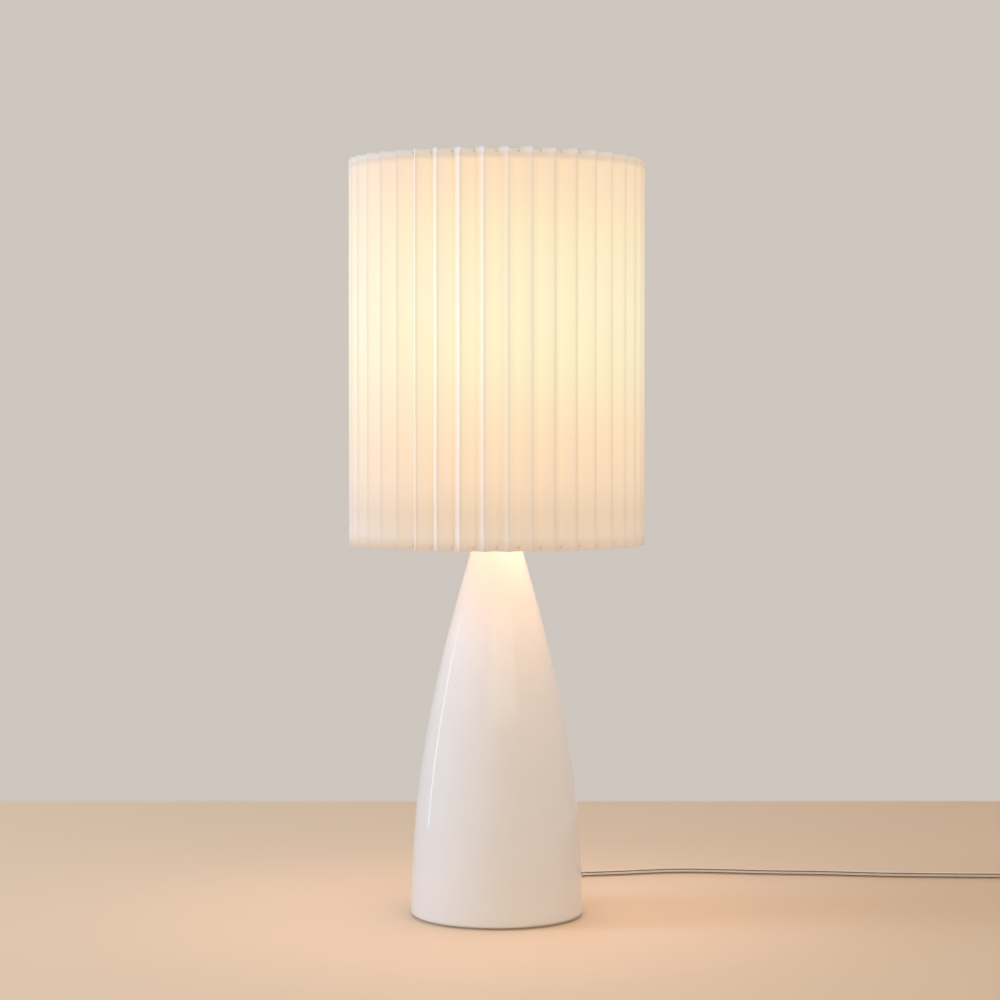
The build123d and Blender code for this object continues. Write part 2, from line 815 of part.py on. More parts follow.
def make_plug_body():
    """A moulded plug with its axis along Z here: nose, taper, block, and pockets for the blades."""
    taper_z, block_z = plug_nose_length, plug_nose_length + plug_taper_length
    front = block_z + plug_block_length
    nose = Cone(cord_diameter / 2 + 2 * slip, plug_nose_radius, plug_nose_length, align=FLAT)
    throat = RectangleRounded(plug_throat, plug_throat, plug_corner)
    face = RectangleRounded(plug_width, plug_height, plug_corner)
    taper = loft([Pos(0, 0, taper_z) * throat, Pos(0, 0, block_z) * face])
    block = Pos(0, 0, block_z) * extrude(face, plug_block_length)
    body = nose + taper + block
    for blade in make_blades(front, slip / 2):
        body -= blade
    return body


def make_blades(front, margin):
    """The two blades, straight out of the plug's front and rooted inside it."""
    blades = []
    for side, width in zip((-1, 1), blade_widths):
        shape = Box(
            blade_thickness + 2 * margin, width + 2 * margin, blade_root + blade_length + margin, align=FLAT
        )
        blade = Pos(side * blade_spacing / 2, 0, front - blade_root - margin) * shape
        hole_z = front + blade_length - blade_hole_from_tip
        hole = Cylinder(blade_hole_radius, 2 * blade_spacing)
        if margin == 0:
            blade -= Pos(0, 0, hole_z) * Rot(0, 90, 0) * hole
        blades.append(blade)
    return blades


lead_route = [lead_start] + lead_points + [lead_end]
lead_radii = bend_radii(lead_route)
lead_path = FilletPolyline(*lead_route, radius=lead_radii)
coil_path = Wire(Curve() + coil_edges())
tail_start = coil_path @ 1
tail_end = tail_start + Vector(0, tail_length, 0)
tail_path = Line(tail_start, tail_end)
plug_place = Pos(*tail_end) * Rot(-90, 0, 0)
plug_front = plug_nose_length + plug_taper_length + plug_block_length

nodes["cord_lead"] = along(lead_path, cord_diameter)
nodes["cord_coil"] = along(coil_path, cord_diameter)
nodes["cord_tail"] = along(tail_path, cord_diameter)
nodes["plug_body"] = plug_place * make_plug_body()
nodes["plug_blades"] = plug_place * (Part() + make_blades(plug_front, 0))

section_area = math.pi * cord_diameter**2 / 4
print("lead bends, mm:", [round(radius) for radius in lead_radii])
for name, path in (("cord_lead", lead_path), ("cord_coil", coil_path), ("inner_lead", inner_lead_path)):
    ratio = nodes[name].volume / (section_area * path.length)
    print(f"{name}: {path.length:.0f} mm long, volume {ratio:.4f} of section times length")
print(f"least gap between the coil's turns: {least_gap(coil_path, cord_diameter):.2f} mm")
free_length = lead_path.length + coil_path.length + tail_path.length
print(f"cord outside the base: {free_length:.0f} mm")

os.makedirs("parts", exist_ok=True)
for name, shape in nodes.items():
    shape.label = name
    export_step(shape, f"parts/{name}.step")
print(len(nodes), "nodes written")
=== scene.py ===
# %% [markdown]
# # A pleated paper table lamp
# The lamp is a glazed ceramic bottle with a drum shade of folded paper, and it is lit.
# Its rigid pieces come from the frame, which was made at real size in metres. Here they get
# their finishes, and the pieces that are soft, folded or clear are modelled again in full.
# Everything below works around the frame, and nothing in it is moved.

# %% Load the frame
import math

import bmesh
import bpy
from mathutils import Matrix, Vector, noise


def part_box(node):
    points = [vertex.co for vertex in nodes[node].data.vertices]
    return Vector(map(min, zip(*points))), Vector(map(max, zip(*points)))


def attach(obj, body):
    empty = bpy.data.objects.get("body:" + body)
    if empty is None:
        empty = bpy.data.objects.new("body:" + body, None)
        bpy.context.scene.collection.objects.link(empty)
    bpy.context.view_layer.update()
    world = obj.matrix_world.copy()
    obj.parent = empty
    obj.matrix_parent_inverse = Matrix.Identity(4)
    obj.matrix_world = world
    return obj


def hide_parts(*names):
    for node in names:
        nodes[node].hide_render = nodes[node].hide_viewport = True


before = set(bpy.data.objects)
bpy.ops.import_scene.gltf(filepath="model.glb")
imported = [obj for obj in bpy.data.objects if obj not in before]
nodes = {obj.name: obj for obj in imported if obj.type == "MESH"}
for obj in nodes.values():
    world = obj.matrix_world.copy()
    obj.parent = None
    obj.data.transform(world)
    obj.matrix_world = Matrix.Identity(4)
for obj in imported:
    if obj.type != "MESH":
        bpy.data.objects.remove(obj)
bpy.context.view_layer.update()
MM = 0.001
print("pieces in the frame:", len(nodes))

# %% [markdown]
# ## Camera
# The photograph was taken from a little above the middle of the lamp, about 2.3 m away, with
# a long lens that looks slightly down. A long lens keeps the sides of the shade upright, so
# the distance and the lens are matched together, and nothing is shifted.

# %% Place the camera
CAMERA_PLACE = (0.0028, -2.292, 0.437)
CAMERA_DOWN = math.radians(1.973)
CAMERA_LENS = 96.05

camera = bpy.data.objects.new("camera", bpy.data.cameras.new("camera"))
camera.data.lens = CAMERA_LENS
camera.location = CAMERA_PLACE
camera.rotation_euler = (math.pi / 2 - CAMERA_DOWN, 0, 0)
bpy.context.scene.collection.objects.link(camera)
bpy.context.scene.camera = camera
print("camera distance:", round(-CAMERA_PLACE[1], 3), "m, lens:", CAMERA_LENS, "mm")

# %% [markdown]
# ## Writing materials as sums
# A material is a graph of nodes, and most of its nodes do plain arithmetic. A small class
# that holds one socket and knows the signs + - * / lets that arithmetic be read as a formula.
# A second class holds the graph and makes every other kind of node in one way. A third holds
# a material with its shader, and knows the few patterns that the finishes share.


# %% Numbers that flow through a material
class Flow:
    """One socket of a material. Arithmetic on it adds the Math nodes that work it out."""

    def __init__(self, graph, socket):
        self.graph = graph
        self.socket = socket

    def maths(self, operation, *values):
        settings = {"operation": operation}
        return self.graph.node("ShaderNodeMath", settings, dict(enumerate(values)))

    def __add__(self, other):
        return self.maths("ADD", self, other)

    def __radd__(self, other):
        return self.maths("ADD", other, self)

    def __sub__(self, other):
        return self.maths("SUBTRACT", self, other)

    def __rsub__(self, other):
        return self.maths("SUBTRACT", other, self)

    def __mul__(self, other):
        return self.maths("MULTIPLY", self, other)

    def __rmul__(self, other):
        return self.maths("MULTIPLY", other, self)

    def __truediv__(self, other):
        return self.maths("DIVIDE", self, other)

    def __pow__(self, other):
        return self.maths("POWER", self, other)

    def __abs__(self):
        return self.maths("ABSOLUTE", self)

    def at_least(self, other):
        return self.maths("MAXIMUM", self, other)

    def at_most(self, other):
        return self.maths("MINIMUM", self, other)

    def fade(self, start, end):
        """0 at start and 1 at end, with a smooth change between them."""
        return self.graph.node(
            "ShaderNodeMapRange",
            {"interpolation_type": "SMOOTHSTEP"},
            {"Value": self, "From Min": start, "From Max": end},
        )


print("signs that work on sockets: + - * / **")


# %% A graph in the making
def lay_stops(ramp, stops):
    """Gives a colour ramp its stops: pairs of a place from 0 to 1 and a colour."""
    while len(ramp.elements) < len(stops):
        ramp.elements.new(1.0)
    for element, (place, colour) in zip(ramp.elements, stops):
        element.position = place
        element.color = (*colour, 1.0)


class Graph:
    """The nodes of a material or of the world. It makes nodes and feeds their sockets."""

    def __init__(self, tree):
        self.tree = tree

    def feed(self, socket, value):
        """Joins a flow to a socket, or sets the socket's own value."""
        if isinstance(value, Flow):
            self.tree.links.new(value.socket, socket)
        elif isinstance(value, tuple) and len(value) == 3 and socket.type == "RGBA":
            socket.default_value = (*value, 1.0)
        else:
            socket.default_value = value

    def node(self, kind, settings, inputs, output=0):
        """Makes a node, sets its settings, feeds its inputs and gives one of its outputs."""
        node = self.tree.nodes.new(kind)
        for key, value in settings.items():
            if key == "stops":
                lay_stops(node.color_ramp, value)
            else:
                setattr(node, key, value)
        for key, value in inputs.items():
            self.feed(node.inputs[key], value)
        return Flow(self, node.outputs[output])


print("ways to feed a socket: a flow, a colour, a number")


# %% A material in the making
class Finish(Graph):
    """A material with one Principled shader, and the patterns that finishes are made of."""

    def __init__(self, name, values):
        self.material = bpy.data.materials.new(name)
        self.material.use_nodes = True
        super().__init__(self.material.node_tree)
        self.shader = self.tree.nodes["Principled BSDF"]
        for socket, value in values.items():
            self.set(socket, value)

    def set(self, socket, value):
        """Feeds a socket of the shader."""
        self.feed(self.shader.inputs[socket], value)

    def place(self):
        """Where the shaded point is on its own piece, in metres."""
        return self.node("ShaderNodeTexCoord", {}, {}, "Object")

    def xyz(self):
        """The same place as three numbers."""
        place = self.place()
        return [self.node("ShaderNodeSeparateXYZ", {}, {0: place}, axis) for axis in range(3)]

    def radius(self, x, y):
        """The distance from the lamp's axis."""
        return (x * x + y * y) ** 0.5

    def mix(self, factor, low, high):
        """One colour where factor is 0, the other where it is 1."""
        return self.node("ShaderNodeMix", {"data_type": "RGBA"}, {0: factor, 6: low, 7: high}, 2)

    def dim(self, colour, amount):
        """A colour made darker or lighter by a number."""
        inputs = {0: colour, "Scale": amount}
        return self.node("ShaderNodeVectorMath", {"operation": "SCALE"}, inputs)

    def grain(self, size, detail=3.0, stretch=(1, 1, 1), rough=0.5):
        """Even noise from 0 to 1 with lumps of about that size in metres."""
        inputs = {"Vector": self.place(), "Scale": Vector(stretch)}
        mapping = self.node("ShaderNodeMapping", {}, inputs)
        inputs = {"Vector": mapping, "Scale": 1 / size, "Detail": detail, "Roughness": rough}
        return self.node("ShaderNodeTexNoise", {}, inputs)

    def bump(self, height, distance, strength=1.0):
        """Feeds the shader's normal from a height map."""
        inputs = {"Height": height, "Distance": distance, "Strength": strength}
        self.set("Normal", self.node("ShaderNodeBump", {}, inputs))


print("material tools are ready")

# %% [markdown]
# ## Floor and backdrop
# The lamp stands on a plain pale table in front of a plain pale wall. Both are stage, not
# part of the object. One wide disc is enough: near the lamp it is a matt surface that takes
# shadows and the warm pool of light. Past the straight back edge of the table, and further
# out on the other sides, it turns into the backdrop's own colour. The world behind it has that
# same colour, so the disc has no rim to see.

# %% Lay the floor
BACKDROP = (0.617, 0.568, 0.521)
# painted shading: the table's colour is lighter on the left, towards the window, and darker and
# warmer on the right
TABLE_LIT_SIDE = (0.84, 0.64, 0.455)      # the table is a little darker and warmer on the right
TABLE_SHADED_SIDE = (0.74, 0.52, 0.35)
TABLE_SHADING = (-0.1, 0.8)           # metres along X from one colour to the other
TABLE_BACK = (0.658, 0.670)           # the table ends between these distances behind the lamp
TABLE_FADE = (0.87, 1.35)             # and between these distances on the other sides
FLOOR_RADIUS = 30.0
FLOOR_SIDES = 96


def make_floor():
    mesh = bpy.data.meshes.new("floor")
    shape = bmesh.new()
    bmesh.ops.create_circle(shape, cap_ends=True, segments=FLOOR_SIDES, radius=FLOOR_RADIUS)
    shape.to_mesh(mesh)
    shape.free()
    floor = bpy.data.objects.new("floor", mesh)
    bpy.context.scene.collection.objects.link(floor)
    finish = Finish("pale_floor", {"Roughness": 0.55, "Specular IOR Level": 0.3})
    x, y, _ = finish.xyz()
    # painted shading across the table, from the lit left to the shaded right
    finish.set("Base Color", finish.mix(x.fade(*TABLE_SHADING), TABLE_LIT_SIDE, TABLE_SHADED_SIDE))
    far = y.fade(*TABLE_BACK).at_least(finish.radius(x, y).fade(*TABLE_FADE))
    backdrop = finish.node("ShaderNodeEmission", {}, {"Color": BACKDROP})
    inputs = {0: far, 1: Flow(finish, finish.shader.outputs[0]), 2: backdrop}
    surface = finish.node("ShaderNodeMixShader", {}, inputs)
    finish.feed(finish.tree.nodes["Material Output"].inputs["Surface"], surface)
    mesh.materials.append(finish.material)


make_floor()
print("the table ends", TABLE_BACK[0], "m behind the lamp")

# %% [markdown]
# The world does two things. To the lamp it is weak soft light from all round, and to the eye
# and to mirrors it is the wall. Light Path tells the rays apart, so the wall's colour can be
# chosen without changing the light.

# %% Light from all round
FILL_COLOUR = (1.0, 0.93, 0.87)
FILL_STRENGTH = 0.65


def make_world():
    world = bpy.data.worlds.new("studio")
    world.use_nodes = True
    bpy.context.scene.world = world
    graph = Graph(world.node_tree)
    fill = graph.tree.nodes["Background"]
    graph.feed(fill.inputs["Color"], FILL_COLOUR)
    graph.feed(fill.inputs["Strength"], FILL_STRENGTH)
    seen = graph.node("ShaderNodeBackground", {}, {"Color": BACKDROP})
    eye, mirror, glass = (
        graph.node("ShaderNodeLightPath", {}, {}, f"Is {ray} Ray")
        for ray in ("Camera", "Glossy", "Transmission")
    )
    inputs = {0: eye.at_least(mirror).at_least(glass), 1: Flow(graph, fill.outputs[0]), 2: seen}
    mix = graph.node("ShaderNodeMixShader", {}, inputs)
    graph.feed(graph.tree.nodes["World Output"].inputs["Surface"], mix)


make_world()
bpy.context.scene.view_settings.view_transform = "Standard"
print("light from all round:", FILL_STRENGTH)

# %% [markdown]
# ## Lights
# Cool daylight comes from a tall window on the left, which grazes the pleats. Its broad
# reflection would whiten half of the glaze, so mirrors don't see it. A narrow strip of light
# draws the one long streak on the glaze instead, and lights nothing else. A wide lamp over
# the camera stands for the room. Warm light comes from the bulb: one small lamp in the globe
# lights the inside of the shade, and a soft disc inside the shade stands for the light that
# the glowing paper throws down on the neck and the table.


# %% Light the scene
def make_lamp(name, kind, place, power, colour, aim=None, **settings):
    """A lamp that is not seen itself. Area lamps look at the point that they aim at."""
    lamp = bpy.data.objects.new(name, bpy.data.lights.new(name, kind))
    lamp.data.energy = power
    lamp.data.color = colour
    for key, value in settings.items():
        setattr(lamp.data, key, value)
    lamp.location = place
    if aim is not None:
        lamp.rotation_euler = (Vector(aim) - Vector(place)).to_track_quat("-Z", "Y").to_euler()
    lamp.visible_camera = False
    bpy.context.scene.collection.objects.link(lamp)
    return lamp


DAYLIGHT = (0.46, 0.69, 1.03)
PALE_DAYLIGHT = (0.9, 0.95, 1.0)
ROOM_LIGHT = (1.0, 0.93, 0.75)
BULB_LIGHT = (1.0, 0.68, 0.45)
PAPER_LIGHT = (1.0, 0.61, 0.49)
SHADE_MIDDLE = (0, 0, 0.45)
GLAZE_MIDDLE = (0, 0, 0.225)
globe_low, globe_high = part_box("bulb_globe")

window = make_lamp(
    "window", "AREA", place=(-2.3, -0.3, 1.1), power=33, colour=DAYLIGHT, aim=SHADE_MIDDLE,
    shape="RECTANGLE", size=0.9, size_y=2.2,
)
window.visible_glossy = False
window_edge = make_lamp(
    "window_edge", "AREA", place=(-0.66, 0.20, 0.225), power=0.10, colour=PALE_DAYLIGHT,
    aim=GLAZE_MIDDLE, shape="RECTANGLE", size=0.04, size_y=0.36,
)
window_edge.visible_diffuse = False
make_lamp(
    "room", "AREA", place=(0.6, -2.7, 1.9), power=16.5, colour=ROOM_LIGHT, aim=SHADE_MIDDLE,
    shape="RECTANGLE", size=3.0, size_y=2.0,
)
make_lamp(
    "bulb_light", "POINT", place=(globe_low + globe_high) / 2, power=0.42, colour=BULB_LIGHT,
    shadow_soft_size=0.02,
)
make_lamp(
    "shade_light", "AREA", place=(0.02, 0, 0.42), power=0.47, colour=PAPER_LIGHT,
    aim=(0.02, 0, 0), shape="DISK", size=0.18, spread=math.radians(150),
)

# %% [markdown]
# ## Mains lead
# The lead is a clear flat cord of two cores. It leaves the base at the back through a tapered
# bushing, drops to the table, and runs off to the right in slow curves. The part that the
# photograph doesn't show is wound into a neat coil just outside the view, and ends in a plug.
# The route is one smooth NURBS curve. Its points lie on the table as the real cord does, and a
# loop adds the half turns of the coil: inwards on the table, then outwards one layer higher.
# A flat cord seldom lies flat all the way: behind the lamp this one stands on its edge, and
# it rolls over onto its side before the coil. Each point is as high as that turn needs.

# %% Route of the lead
CORD_WIDTH = 5.4 * MM
CORD_THICK = 2.7 * MM
EXIT = (0.0, 98.1 * MM, 9.0 * MM)
STAND_UP = (8.0 * MM, 60.0 * MM)      # the cord rolls onto its edge between these places along X
LIE_DOWN = (470.0 * MM, 520.0 * MM)   # and back onto its side between these
TURN_SPARE = 0.5 * MM                 # it is held this much higher halfway through such a turn


def ease(value, start, end):
    share = min(1.0, max(0.0, (value - start) / (end - start)))
    return share * share * (3 - 2 * share)


def roll(place):
    """How far the flat cord is turned about its own line, by where it is."""
    return math.pi / 2 * (ease(place.x, *STAND_UP) - ease(place.x, *LIE_DOWN))


def on_table(x, y):
    """A point of the route where the cord touches the table."""
    turn = roll(Vector((x * MM, y * MM, 0)))
    rise = (CORD_WIDTH - CORD_THICK) / 2 * math.sin(turn) + CORD_THICK / 2
    return Vector((x * MM, y * MM, rise + TURN_SPARE * math.sin(2 * turn)))


LIE = on_table(500.0, 0.0).z          # height of the cord's middle where it lies flat

route = [Vector(EXIT), Vector((0.0, 112.0, 8.6)) * MM, Vector((2.0, 131.0, 4.6)) * MM]
route += [on_table(x, y) for x, y in [
    (16.0, 159.0),
    (45.0, 174.0),
    (80.0, 182.0),
    (120.0, 190.0),
    (167.0, 203.0),
    (215.0, 198.0),
    (260.0, 191.0),
    (305.0, 189.0),
    (353.0, 180.0),
    (410.0, 176.0),
    (470.0, 174.0),
    (495.0, 174.0),
]]

COIL_START = Vector((527.0 * MM, 174.0 * MM, LIE))
COIL_RADIUS = 39.0 * MM
COIL_STEP = 2.95 * MM                 # each half turn is this much smaller than the last
COIL_HALF_TURNS = 6
COIL_RISE = CORD_THICK + 0.15 * MM    # the upper layer lies on the lower one
COIL_POINTS = 12                      # points on each half turn
TAIL_LENGTH = 36.0 * MM
plug_low, plug_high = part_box("plug_body")
PLUG_HEIGHT = (plug_low.z + plug_high.z) / 2


def arc_points(start, side, radius, turn, rise):
    """Points along an arc to the left that starts heading along +X, or -X where side is -1."""
    centre = start + Vector((0, side * radius, 0))
    points = []
    steps = max(1, round(COIL_POINTS * turn / 180))
    for step in range(1, steps + 1):
        angle = math.radians(-90 * side + turn * step / steps)
        offset = Vector((radius * math.cos(angle), radius * math.sin(angle), rise * step / steps))
        points.append(centre + offset)
    return points


def coil_points():
    """Half turns inwards, one that climbs, half turns outwards, and a quarter turn to leave."""
    inwards = [(COIL_RADIUS - COIL_STEP * turn, 0.0) for turn in range(COIL_HALF_TURNS)]
    climb = [(COIL_RADIUS - COIL_STEP * COIL_HALF_TURNS, COIL_RISE)]
    outwards = inwards[:0:-1]
    points, side = [COIL_START], 1
    for radius, rise in inwards + climb + outwards:
        points += arc_points(points[-1], side, radius, 180, rise)
        side = -side
    return points + arc_points(points[-1], side, COIL_RADIUS, 90, 0.0)


coil = coil_points()
tail_start = coil[-1] + Vector((0, CORD_WIDTH, 0))
tail_end = Vector((tail_start.x, tail_start.y + TAIL_LENGTH, PLUG_HEIGHT))
tail_middle = tail_start.lerp(tail_end, 0.5)
route += [Vector((COIL_START.x - CORD_WIDTH, COIL_START.y, LIE))] + coil
route += [tail_start, tail_middle, tail_end]
print("points on the route:", len(route), "of which the coil has", len(coil))


# %% [markdown]
# A NURBS curve passes close to its points in one smooth sweep, as a cord does that springs
# back a little. Its tilt rolls the cord about its own line, and the twist mode Z-Up keeps
# all the rest flat on the table. The bare line is read back for the wires and the length.

# %% Draw the line of the cord
POINT_RADIUS = 0.05   # a point's radius widens the box that Blender gives a curve, so it is small


def smooth_line(points):
    """A NURBS curve along the route. Its order is set once it has its points."""
    curve = bpy.data.curves.new("line", "CURVE")
    curve.dimensions = "3D"
    spline = curve.splines.new("NURBS")
    spline.points.add(len(points) - 1)
    for point, place in zip(spline.points, points):
        point.co = (*place, 1)
    spline.order_u = 3
    spline.use_endpoint_u = True
    spline.resolution_u = 6
    curve.twist_mode = "Z_UP"
    for point, place in zip(spline.points, points):
        point.tilt = roll(place)
        point.radius = POINT_RADIUS
    return curve


def read_line(curve):
    """The points of a smooth curve, read from the bare line that Blender draws for it."""
    probe = bpy.data.objects.new("probe", curve)
    mesh = bpy.data.meshes.new_from_object(probe)
    points = [vertex.co.copy() for vertex in mesh.vertices]
    bpy.data.objects.remove(probe)
    bpy.data.meshes.remove(mesh)
    return points


lead_curve = smooth_line(route)
lead_line = read_line(lead_curve)
roll_line = smooth_line([Vector((roll(place), 0, 0)) for place in route])
lead_rolls = [point.x for point in read_line(roll_line)]
lead_length = sum((b - a).length for a, b in zip(lead_line, lead_line[1:]))
print("length of the lead:", round(lead_length, 3), "m")

# %% [markdown]
# The section of the cord is two round cores side by side with a shallow groove between them.
# A curve can carry any outline as its bevel. Blender multiplies that outline by the radius of
# the points, so it is drawn that much larger.


# %% Give the cord its outline
def twin_section():
    """The outline of two round cores side by side, as a closed flat curve."""
    core = CORD_THICK / 2 / POINT_RADIUS
    middle = CORD_WIDTH / 2 / POINT_RADIUS - core
    angles = [math.radians(angle) for angle in range(-150, 151, 20)]
    right = [(middle + core * math.cos(angle), core * math.sin(angle)) for angle in angles]
    left = [(-x, -y) for x, y in right]
    curve = bpy.data.curves.new("twin_section", "CURVE")
    spline = curve.splines.new("POLY")
    spline.points.add(len(right + left) - 1)
    for point, (x, y) in zip(spline.points, right + left):
        point.co = (x, y, 0, 1)
    spline.use_cyclic_u = True
    return bpy.data.objects.new("twin_section", curve)


section = twin_section()
lead_curve.bevel_mode = "OBJECT"
lead_curve.bevel_object = section
lead_curve.use_fill_caps = True
lead = bpy.data.objects.new("mains_lead", lead_curve)
bpy.context.scene.collection.objects.link(lead)
bpy.context.scene.collection.objects.link(section)
section.hide_render = True
print("corners of the outline:", len(section.data.splines[0].points))

# %% [markdown]
# The cores are clear, so each also shows a wire of fine strands inside. The two wires follow
# the points that were read back from the smooth line, moved half a core sideways.

# %% Lay the wires in the cord
WIRE_THICK = 1.3 * MM
CORE_SHIFT = (CORD_WIDTH - CORD_THICK) / 2   # from the middle of the cord to that of a core


def make_wire(name, side):
    """The wire of one core: the cord's own line, moved the way that the cord is rolled."""
    curve = bpy.data.curves.new(name, "CURVE")
    curve.dimensions = "3D"
    spline = curve.splines.new("POLY")
    spline.points.add(len(lead_line) - 1)
    for index, (place, turn) in enumerate(zip(lead_line, lead_rolls)):
        ahead = lead_line[min(index + 1, len(lead_line) - 1)] - lead_line[max(index - 1, 0)]
        sideways = Vector((ahead.y, -ahead.x, 0)).normalized()
        upwards = ahead.normalized().cross(sideways)
        across = sideways * math.cos(turn) + upwards * math.sin(turn)
        spline.points[index].co = (*(place + across * side * CORE_SHIFT), 1)
    curve.bevel_depth = WIRE_THICK / 2
    curve.bevel_resolution = 2
    curve.use_fill_caps = True
    wire = bpy.data.objects.new(name, curve)
    bpy.context.scene.collection.objects.link(wire)
    return wire


wires = [make_wire("lead_wire_left", -1), make_wire("lead_wire_right", 1)]
print("wires:", [wire.name for wire in wires])

# %% [markdown]
# ## Pleated paper
# The shade is one long strip of stiff paper, folded like an accordion and closed to a ring
# with 40 outer folds. A circle with 80 corners, every second one drawn in, is exactly that
# outline, and extruding its edges upwards row by row gives the strip.

# %% Fold the strip
PLEATS = 40
TIP_RADIUS = 127.0 * MM
PLEAT_DEPTH = 11.4 * MM
PLEAT_TURN = math.radians(4.4)        # from the front to the first outer fold on its right
PAPER_ROWS = 28
VALLEY_RADIUS = TIP_RADIUS - PLEAT_DEPTH
paper_low, paper_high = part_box("shade_paper")


def fold_strip():
    """The folded strip, one face thick, with every crease straight."""
    shape = bmesh.new()
    bmesh.ops.create_circle(shape, cap_ends=False, segments=2 * PLEATS, radius=TIP_RADIUS)
    ring = list(shape.verts)
    for index, corner in enumerate(ring):
        angle = PLEAT_TURN - math.pi / 2 + math.pi / PLEATS * index
        radius = VALLEY_RADIUS if index % 2 else TIP_RADIUS
        corner.co = Vector((radius * math.cos(angle), radius * math.sin(angle), paper_low.z))
    row = list(shape.edges)
    rise = Vector((0, 0, (paper_high.z - paper_low.z) / PAPER_ROWS))
    for _ in range(PAPER_ROWS):
        made = bmesh.ops.extrude_edge_only(shape, edges=row)["geom"]
        corners = [item for item in made if isinstance(item, bmesh.types.BMVert)]
        row = [item for item in made if isinstance(item, bmesh.types.BMEdge)]
        bmesh.ops.translate(shape, verts=corners, vec=rise)
    bmesh.ops.recalc_face_normals(shape, faces=shape.faces)
    return shape


paper_shape = fold_strip()
print("faces of the folded strip:", len(paper_shape.faces))

# %% [markdown]
# Folding by hand is never quite even, so each crease wanders a little. A small bevel rounds
# the creases, because paper can't be folded to a knife edge.

# %% Soften the creases
CREASE_ROUND = 0.55 * MM
CREASE_WANDER = 0.28 * MM
CREASE_SEED = 1                       # the noise starts from the clock unless it is given a seed
CREASE_APART = 7.31                   # how far apart two creases are in the noise
CREASE_WAVES = 9.0                    # how fast a crease wanders, in waves per metre


def wander(shape):
    """Moves each crease by a fraction of a millimetre, slowly changing from end to end."""
    noise.seed_set(CREASE_SEED)
    for corner in shape.verts:
        angle = math.atan2(corner.co.y, corner.co.x)
        column = round((angle - PLEAT_TURN) / math.pi * PLEATS)
        spot = Vector((column * CREASE_APART, corner.co.z * CREASE_WAVES, 0))
        shift = noise.noise_vector(spot) * CREASE_WANDER
        corner.co += Vector((shift.x, shift.y, 0))


def round_creases(shape):
    """Bevels every upright edge, and turns the strip's faces outwards."""
    creases = [edge for edge in shape.edges
               if abs(edge.verts[0].co.z - edge.verts[1].co.z) > 2 * CREASE_ROUND]
    bmesh.ops.bevel(shape, geom=creases, offset=CREASE_ROUND, offset_type="OFFSET",
                    segments=3, profile=0.5, affect="EDGES", material=-1)
    shape.faces.ensure_lookup_table()
    shape.normal_update()
    sample = shape.faces[0]
    if sample.normal.dot(sample.calc_center_median() - Vector((0, 0, paper_low.z))) < 0:
        bmesh.ops.reverse_faces(shape, faces=shape.faces[:])


wander(paper_shape)
round_creases(paper_shape)
print("faces with rounded creases:", len(paper_shape.faces))

# %% [markdown]
# The paper glows because the bulb shines through it. A material that gives off light by
# height shows this from every side and under any other light: brightest and palest level
# with the bulb, deeper orange towards the ends, and unlit where the stiff bands inside stop
# the light. Less light reaches the outer creases than the inner ones. The rest of the look is
# plain paper: matt, warm white, with fine fibres. Small dark dots of painted shade sit in the
# inner creases near both ends. Where the paper glows its own colour is written darker, so
# that both together stay below white.

# %% Finish of the paper
GLOW_STOPS = [                # share of the height, and the glow there
    (0.000, (0.23, 0.15, 0.11)),
    (0.020, (0.22, 0.145, 0.08)),
    (0.070, (0.36, 0.235, 0.12)),
    (0.170, (0.47, 0.31, 0.165)),
    (0.270, (0.51, 0.345, 0.17)),
    (0.370, (0.51, 0.39, 0.20)),
    (0.470, (0.51, 0.44, 0.225)),
    (0.600, (0.52, 0.455, 0.245)),
    (0.720, (0.52, 0.435, 0.23)),
    (0.820, (0.51, 0.40, 0.195)),
    (0.910, (0.51, 0.347, 0.18)),
    (0.970, (0.49, 0.325, 0.16)),
    (0.990, (0.21, 0.13, 0.065)),
    (1.000, (0.00, 0.00, 0.00)),
]
TOP_FADE = (1.0 * MM, 7.0 * MM)       # near its ends the paper is lit from outside only
BOTTOM_FADE = (2.0 * MM, 30.0 * MM)
BOTTOM_SHARE = 0.35                   # how much of that darker colour the very bottom still has
TIP_DIM = 0.74                        # the glow at an outer crease, as a share of it elsewhere
TIP_REACH = 2.8 * MM
MOTTLE = 0.06                         # how much fibres and clouds each change the glow
PAPER_DULL = (0.80, 0.785, 0.755)
PAPER_BRIGHT = (0.86, 0.85, 0.825)
PAPER_GLOWING = (0.56, 0.555, 0.56)
# painted shade: the colour of small dark dots in the inner creases near both ends
CREASE_SHADE_COLOUR = (0.34, 0.27, 0.22)
SHADE_DOT_HEIGHT = 3.0 * MM                # the dots sit this far from both edges
SHADE_DOT_SIZE = 0.9 * MM
SHADE_DOT_REACH = (0.6 * MM, 1.6 * MM)     # and end at these distances from the inner creases
SHADE_DOT_STRENGTH = 0.4


